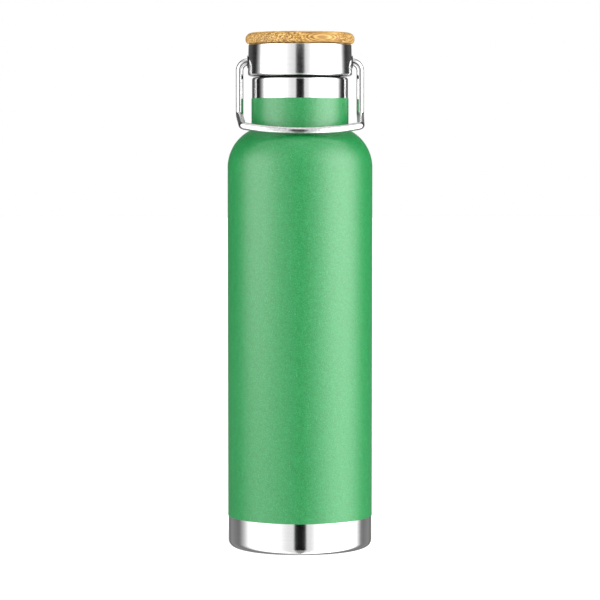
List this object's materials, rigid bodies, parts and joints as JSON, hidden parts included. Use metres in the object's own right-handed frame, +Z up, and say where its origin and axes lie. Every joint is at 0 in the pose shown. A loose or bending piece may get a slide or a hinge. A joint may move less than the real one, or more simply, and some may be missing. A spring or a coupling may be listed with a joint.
{
  "type": "vacuum flask",
  "caption": "Slim double-walled steel vacuum flask, green powder coat between bare foot and mouth, screw lid with a bamboo top and a swinging wire bail.",
  "frame": {"origin": "centre of the foot ring, on the surface the flask stands on", "axes": "+Z up along the flask's axis, -Y towards the front where the bail's bow hangs, +X towards the right-hand pivot"},
  "size_m": [0.073, 0.073, 0.2596],
  "materials": {
    "polished_steel": "bare stainless steel, finely brushed round the body, satin to bright",
    "cap_steel": "bare stainless steel, finely brushed, bright",
    "steel_wire": "electropolished stainless round wire",
    "inner_steel": "electropolished stainless pressing",
    "green_powder_coat": "semi-gloss green powder coat with a fine even grain",
    "bamboo": "oiled flat-sawn bamboo with a fine fibre grain",
    "copper_foil": "thin copper foil, bright",
    "getter_metal": "sintered dark grey metal",
    "seal_glass": "fused grey solder glass",
    "silicone": "milky white food-grade silicone",
    "lid_plastic": "black moulded polypropylene, fine matt",
    "plug_plastic": "natural polypropylene, satin",
    "foam": "closed-cell white foam",
    "adhesive": "translucent adhesive film"
  },
  "bodies": {
    "bottle": {"outer_shell": "polished_steel", "foot_cup": "polished_steel", "powder_coat": "green_powder_coat", "liner": "polished_steel", "mouth_ring": "polished_steel", "liner_base": "inner_steel", "copper_foil": "copper_foil", "vacuum_base": "inner_steel", "seal_bead": "seal_glass", "base_cover": "polished_steel", "getter_clip": "inner_steel", "getter": "getter_metal"},
    "seal": {"seal_ring": "silicone"},
    "lid": {"lid_shell": "cap_steel", "lid_core": "lid_plastic", "plug_floor": "plug_plastic", "foam_puck": "foam", "adhesive_disc": "adhesive", "bamboo_disc": "bamboo", "pivot_bush_right": "lid_plastic", "pivot_bush_left": "lid_plastic"},
    "handle": {"handle_wire": "steel_wire"}
  },
  "joints": [
    {"name": "lid_rise", "type": "slide", "parent": "bottle", "child": "seal", "axis": [0, 0, 1], "range_m": [0, 0.03]},
    {"name": "lid_turn", "type": "hinge", "parent": "seal", "child": "lid", "pos_m": [0, 0, 0.2379], "axis": [0, 0, 1], "range_deg": [0, 2160]},
    {"name": "handle_swing", "type": "hinge", "parent": "lid", "child": "handle", "pos_m": [0, 0, 0.245], "axis": [-1, 0, 0], "range_deg": [0, 277]}
  ],
  "couplings": [
    {"joint": "lid_rise", "follows": "lid_turn", "m_per_rad": 0.00079577}
  ]
}
